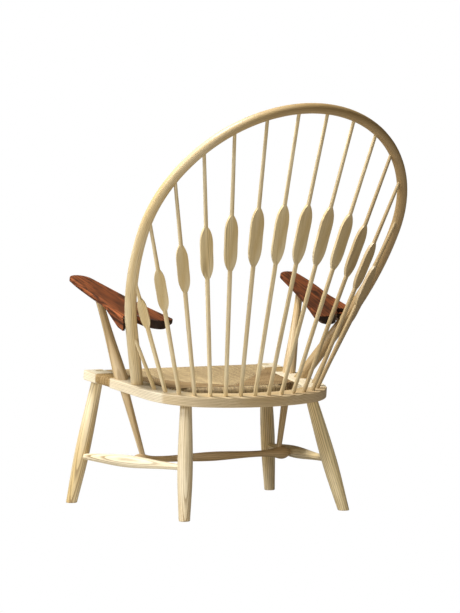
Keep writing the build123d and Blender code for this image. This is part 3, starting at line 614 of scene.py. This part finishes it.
def neck_outside(back):
    """Half the width over the wrapped necks."""
    return outer_corner[0] + (outer_corner[1] - back) * outer_lean


def rear_bar_back(across, edge=rear_bar_edge):
    """How far back the wrapped rear bar reaches."""
    return math.sqrt(edge ** 2 - across ** 2) + rear_bar_centre


def rear_bar_half(back):
    """Half the width of the wrapped rear bar's outline, at a place along the seat."""
    return math.sqrt(rear_bar_edge ** 2 - (back - rear_bar_centre) ** 2)


print("half widths at the front:", round(rail_inside(bar_front), 4), round(neck_outside(ear_back), 4))

# %% [markdown]
# ## Seams and sag
#
# The turns of the front run back to two seams that meet at an apex, and behind the apex a flat seam parts
# the sides from the short cords of the rear bar. Each seam is a straight line, so a slope describes it.
# A seat that is sat in hangs a few millimetres between its bars. Cloth simulation could find that, but
# the cords are taut and the hollow is shallow: easing it out near each bar by a formula looks the same.

# %% Seams and sag
apex = 0.085
seam_slope = 0.987
rear_seam_back = 0.094
rear_seam_flat = 0.014
rear_seam_slope = 0.0675
sag_depth = 0.004
sag_ease = 0.09
sag_front = -0.150
sag_half = 0.38


def rear_seam(across):
    """Where the cords of the sides meet the short cords of the back."""
    return rear_seam_back - max(abs(across) - rear_seam_flat, 0.0) * rear_seam_slope


def ease(share):
    """Zero to one with a soft start and end."""
    share = min(max(share, 0.0), 1.0)
    return share * share * (3.0 - 2.0 * share)


def sag(across, back):
    """How far the weave hangs between its bars."""
    front = ease((back - sag_front) / sag_ease)
    side = ease((rail_inside(back) - abs(across)) / sag_ease)
    rear = 0.0
    if abs(across) < sag_half:
        rear = ease((rear_bar_back(across, rear_bar_inside) - back) / sag_ease)
    return sag_depth * front * side * rear


print("sag in the middle:", round(sag(0.0, -0.03) * 1000, 2), "mm")

# %% [markdown]
# ## One turn of cord
#
# A turn comes up out of the seam, lies along the top, goes round the edge, comes back underneath and
# dives in again. A full loop could be swept as easily, but its hidden stretch inside the seat would
# spend faces where nobody looks, so it is left out. The points at a dive are a short list: how far each
# is from the seam, and how deep below the top. A cord that only spans from seam to seam has no way back.
# Work done by hand is never even, so a gentle noise moves every point by a fraction of a millimetre.
# Left alone, Blender's noise starts from the clock. A set seed makes the same seat every time.

# %% Make one turn
dive = ((-0.0006, 0.0075), (0.0, 0.0035), (0.0016, 0.0009))
settled = 0.0045
shake_seed = 7
shake_scale = 40
shake_step = 0.37
shake_sideways = 0.0002
shake_down = 0.0004
noise.seed_set(shake_seed)


def lively(across, back, depth, seed):
    """A point in the chair's frame, with the small unevenness of work done by hand."""
    shake = noise.noise_vector(Vector((across * shake_scale, back * shake_scale, seed * shake_step)))
    down = depth + sag(across, back) + abs(shake.z) * shake_down
    return seat_frame @ Vector((across + shake.x * shake_sideways, back + shake.y * shake_sideways, -down))


def run_of_cord(start, end, place, dives_again=False, samples=7, turn_radius=0.0073):
    """The points of one turn. place(reach, depth) gives a point at a reach along the turn."""
    way = 1.0 if end > start else -1.0
    top, bottom = cord_radius, seat_depth - cord_radius
    rim = end - way * (dive[-1][0] if dives_again else turn_radius + cord_radius)
    first = start + way * settled
    steps = [first + (rim - first) * n / (samples - 1) for n in range(samples)]
    points = [place(start + way * reach, top + depth) for reach, depth in dive]
    points += [place(reach, top) for reach in steps]
    if dives_again:
        points += [place(end - way * reach, top + depth) for reach, depth in reversed(dive[:2])]
        return points
    angles = [math.radians(degrees) for degrees in (30, 60, 90)]
    rounded = [(turn_radius * math.sin(angle), turn_radius * math.cos(angle)) for angle in angles]
    points += [place(rim + way * out, top + turn_radius - up) for out, up in rounded]
    points += [place(rim + way * out, bottom - turn_radius + up) for out, up in reversed(rounded)]
    points += [place(reach, bottom) for reach in reversed(steps)]
    points += [place(start + way * reach, bottom - depth) for reach, depth in reversed(dive)]
    return points


print("a turn at a dive has", len(dive), "points")

# %% [markdown]
# ## The turns over the front bar
#
# The cords lie side by side on the bar and run straight back to the seams. Behind the ears the opening
# is a little narrower than at the bar, so each turn moves inwards by its share on the way there.

# %% Wind the front
front_count = 136
front_gap = 0.0003
front_half = rail_inside(bar_front) - cord_radius - front_gap


def front_turn(number):
    """One turn over the front bar."""
    across = front_half * (2.0 * number / (front_count - 1) - 1.0)
    narrowed = across * rail_inside(ear_back) / rail_inside(bar_front)

    def place(back, depth):
        share = min(max((back - bar_front) / (ear_back - bar_front), 0.0), 1.0)
        return lively(across + (narrowed - across) * share, back, depth, number)

    return run_of_cord(apex - abs(narrowed) * seam_slope, bar_front, place)


turns = [front_turn(number) for number in range(front_count)]
print("turns over the front bar:", len(turns))

# %% [markdown]
# ## The turns over the sides
#
# The weaver works both sides at once, so left and right take turns here too. At the necks the cord goes
# round the outside of the rail. Behind them it stays inside, and ends at the rail or at the rear bar,
# whichever comes first. Both cases are one function with another edge.

# %% Wind the sides
side_pitch = 0.00331
ear_gap = 0.0002
rail_gap = 0.0004
middle_gap = 0.002
side_start = ear_back + ear_gap + cord_radius
side_end = 0.0835
side_seed = 200


def side_turn(number, side):
    """One turn over the left (1) or right (-1) side."""
    back = side_start + number * side_pitch
    edge = neck_outside(back)
    if back >= neck_back - cord_radius:
        edge = min(rail_inside(back) - rail_gap, rear_bar_half(back))

    def place(across, depth):
        return lively(side * across, back, depth, side_seed + number)

    return run_of_cord(max((apex - back) / seam_slope, middle_gap), edge, place)


side_count = int((side_end - side_start) / side_pitch) + 1
turns += [side_turn(number, side) for number in range(side_count) for side in (1, -1)]
print("turns over each side:", side_count)

# %% [markdown]
# ## The back of the seat
#
# Behind the apex three cords cross from seam to seam. Then short turns over the curved rear bar close the
# seat. They could fan out square to the bar, but would then part at its edge, so they lie side by side.

# %% Wind the back
rear_half = 0.148
rear_count = 89
rear_seed = 500
rear_least = 0.0125
rear_turn_radius = 0.0102
cross_backs = (0.0845, 0.0878, 0.0911)
cross_seed = 400


def cross_cord(back):
    """A cord across the middle, which dives at both ends."""
    edge = rear_seam_flat + (rear_seam_back - back) / rear_seam_slope

    def place(across, depth):
        return lively(across, back, depth, cross_seed + back * 1000)

    return run_of_cord(-edge, edge, place, dives_again=True, samples=24)


def rear_turn(number):
    """One short turn over the rear bar."""
    across = rear_half * (2.0 * number / (rear_count - 1) - 1.0)
    edge = rear_bar_back(across)

    def place(back, depth):
        return lively(across, back, depth, rear_seed + number)

    start = min(rear_seam(across), edge - rear_least)
    return run_of_cord(start, edge, place, samples=2, turn_radius=rear_turn_radius)


turns += [cross_cord(back) for back in cross_backs]
turns += [rear_turn(number) for number in range(rear_count)]
print("turns of cord:", len(turns), "points:", sum(len(points) for points in turns))

# %% [markdown]
# ## From lines to cord
#
# A curve's bevel sweeps a circle along each line, and the curve is then turned into a mesh, because the
# finish needs a map on the cord and a curve object gives none that can be changed.
# The sweep keeps few sides: hundreds of cords at full roundness would weigh more than all the wood.

# %% Sweep the cord
line_data = bpy.data.curves.new("cord_lines", "CURVE")
line_data.dimensions = "3D"
line_data.bevel_depth = cord_radius
line_data.bevel_resolution = 2
line_data.resolution_u = 1
for points in turns:
    spline = line_data.splines.new("POLY")
    spline.points.add(len(points) - 1)
    spline.points.foreach_set("co", [value for point in points for value in (*point, 1.0)])
line_object = bpy.data.objects.new("cord_lines", line_data)
woven_data = bpy.data.meshes.new_from_object(line_object)
woven_data.name = "woven_cord_seat"
bpy.data.objects.remove(line_object)
bpy.data.curves.remove(line_data)
woven = bpy.data.objects.new("woven_cord_seat", woven_data)
bpy.context.scene.collection.objects.link(woven)
woven_data.shade_smooth()
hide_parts("cord_seat")
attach(woven, "root")
print("cord faces", len(woven_data.polygons))

# %% [markdown]
# ## A map in real metres
#
# The sweep lays a map on the tube: one way goes from end to end, the other once round it, each from zero
# to one. Stretching the long way to real metres lets one twist fit long and short turns alike, and adding
# the turn's number to the other way tells the finish which turn a point is on.

# %% Stretch the map
map_layer = woven_data.uv_layers[0]
around = len(woven_data.polygons) // sum(len(points) - 1 for points in turns)
first_corner = 0
for number, points in enumerate(turns):
    length = sum((b - a).length for a, b in zip(points, points[1:]))
    last_corner = first_corner + around * (len(points) - 1) * 4
    for corner in map_layer.data[first_corner:last_corner]:
        corner.uv[0] *= length
        corner.uv[1] += number
    first_corner = last_corner
print("sides of a cord:", around, "corners mapped:", first_corner, "of", len(map_layer.data))

# %% [markdown]
# ## Twisted paper
#
# Three strands wind round each other, so across and along the cord the strand repeats: the map's two ways,
# added in the right proportion, count them. A sine rounds each strand, and at its edge lies a groove,
# darkened with painted shade.
# A modelled twist would need ten times the faces for lines that are half a millimetre wide.
# The whole part of the map's second way is the number of the turn, and it tells the sides, whose cords
# lie across the chair, from the front and the back.

# %% Strands and turns
strands = 3.0
strands_per_metre = 260.0
cord_paint = clean_material("paper_cord")
tree = cord_paint.node_tree
place = shader_node(tree, "ShaderNodeTexCoord").outputs
lay = shader_node(tree, "ShaderNodeUVMap", uv_map=map_layer.name)
along, turn_number = shader_node(tree, "ShaderNodeSeparateXYZ", {0: lay.outputs[0]}).outputs[:2]
wound = maths(tree, "MULTIPLY", turn_number, strands)
strand = maths(tree, "FRACT", maths(tree, "ADD", wound, maths(tree, "MULTIPLY", along, strands_per_metre)))
roundness = maths(tree, "SINE", maths(tree, "MULTIPLY", strand, math.pi))
after_front = maths(tree, "GREATER_THAN", turn_number, front_count)
before_rear = maths(tree, "LESS_THAN", turn_number, len(turns) - rear_count)
on_side = maths(tree, "MULTIPLY", after_front, before_rear)
print("a strand comes round every", round(1000 / strands_per_metre, 1), "mm")

# %% [markdown]
# ## The tone of the cord
#
# Paper takes the light unevenly: a mottle, fine specks and a tone for each turn keep the cords apart.
# A single brown would make the seat look printed. On the sides one cord differs more from the next.
# Where two cords touch, painted shade darkens the crevice. A baked shadow map would find it on any shape,
# but here the normal is enough: it points sideways across the cords there, which is along X for the
# front and the back and along Y for the sides.

# %% Masks for the tone
whole_turn = maths(tree, "FLOOR", turn_number)
each = shader_node(tree, "ShaderNodeTexWhiteNoise", {"W": whole_turn}, noise_dimensions="1D").outputs["Value"]
mottle = remap(tree, cloud(tree, place["Object"], 210.0), 0.35, 0.65)
speck = cloud(tree, place["Object"], 900.0)
uneven = maths(tree, "MULTIPLY", maths(tree, "SUBTRACT", each, 0.5), 0.9)
tone = maths(tree, "ADD", maths(tree, "MULTIPLY", mottle, 0.55), maths(tree, "MULTIPLY", speck, 0.25))
tone = maths(tree, "ADD", tone, maths(tree, "MULTIPLY", each, 0.5))
tone = maths(tree, "ADD", tone, maths(tree, "MULTIPLY", uneven, on_side))
side_way = shader_node(tree, "ShaderNodeSeparateXYZ", {0: place["Object"]}).outputs[0]
on_neck = remap(tree, maths(tree, "ABSOLUTE", side_way), 0.21, 0.25)
normal = shader_node(tree, "ShaderNodeSeparateXYZ", {0: place["Normal"]}).outputs
sideways = [maths(tree, "ABSOLUTE", part) for part in normal[:2]]
# Painted shade in the crevices between cords.
crevice_shade = remap(tree, mix(tree, on_side, *sideways, kind="FLOAT"), 0.4, 0.95, 0.0, 0.75)
# Painted shade in the grooves between strands.
groove_shade = remap(tree, roundness, 0.0, 0.6, 0.85, 0.0)
print("masks: tone, neck, crevice, groove")

# %% [markdown]
# ## The finish of the cord
#
# The colour is laid on from the widest mask to the narrowest: paper first, then the browner sides, which are
# painted shade, and the warmer necks, where hands and clothes rub, then the painted shade of the crevices and
# the grooves. One ramp with all of these colours would be shorter, but it couldn't tell a dark cord from a
# dark gap between two cords.
# The strand's roundness also gives the bump, so the twist catches the light.

# %% Finish the cord
paper_dark = (0.13, 0.075, 0.028, 1)
paper_light = (0.64, 0.475, 0.24, 1)
# Painted shade: the side cords, which lie across the light, are painted browner.
side_painted_shade = (0.26, 0.13, 0.04, 1)
neck_tan = (0.60, 0.35, 0.09, 1)
crevice_painted_shade = (0.07, 0.035, 0.012, 1)
groove_painted_shade = (0.11, 0.06, 0.02, 1)
colour = mix(tree, tone, paper_dark, paper_light)
colour = mix(tree, maths(tree, "MULTIPLY", on_side, 0.45), colour, mix(tree, on_neck, side_painted_shade, neck_tan))
colour = mix(tree, crevice_shade, colour, crevice_painted_shade)
colour = mix(tree, groove_shade, colour, groove_painted_shade)
bump = shader_node(tree, "ShaderNodeBump", {"Height": roundness, "Strength": 0.8, "Distance": 0.0005})
coat = {"Base Color": colour, "Roughness": 0.62, "Normal": bump.outputs[0]}
skin = shader_node(tree, "ShaderNodeBsdfPrincipled", coat)
shader_node(tree, "ShaderNodeOutputMaterial", {"Surface": skin.outputs[0]})
woven_data.materials.append(cord_paint)
print("cord finish with", len(tree.nodes), "nodes")
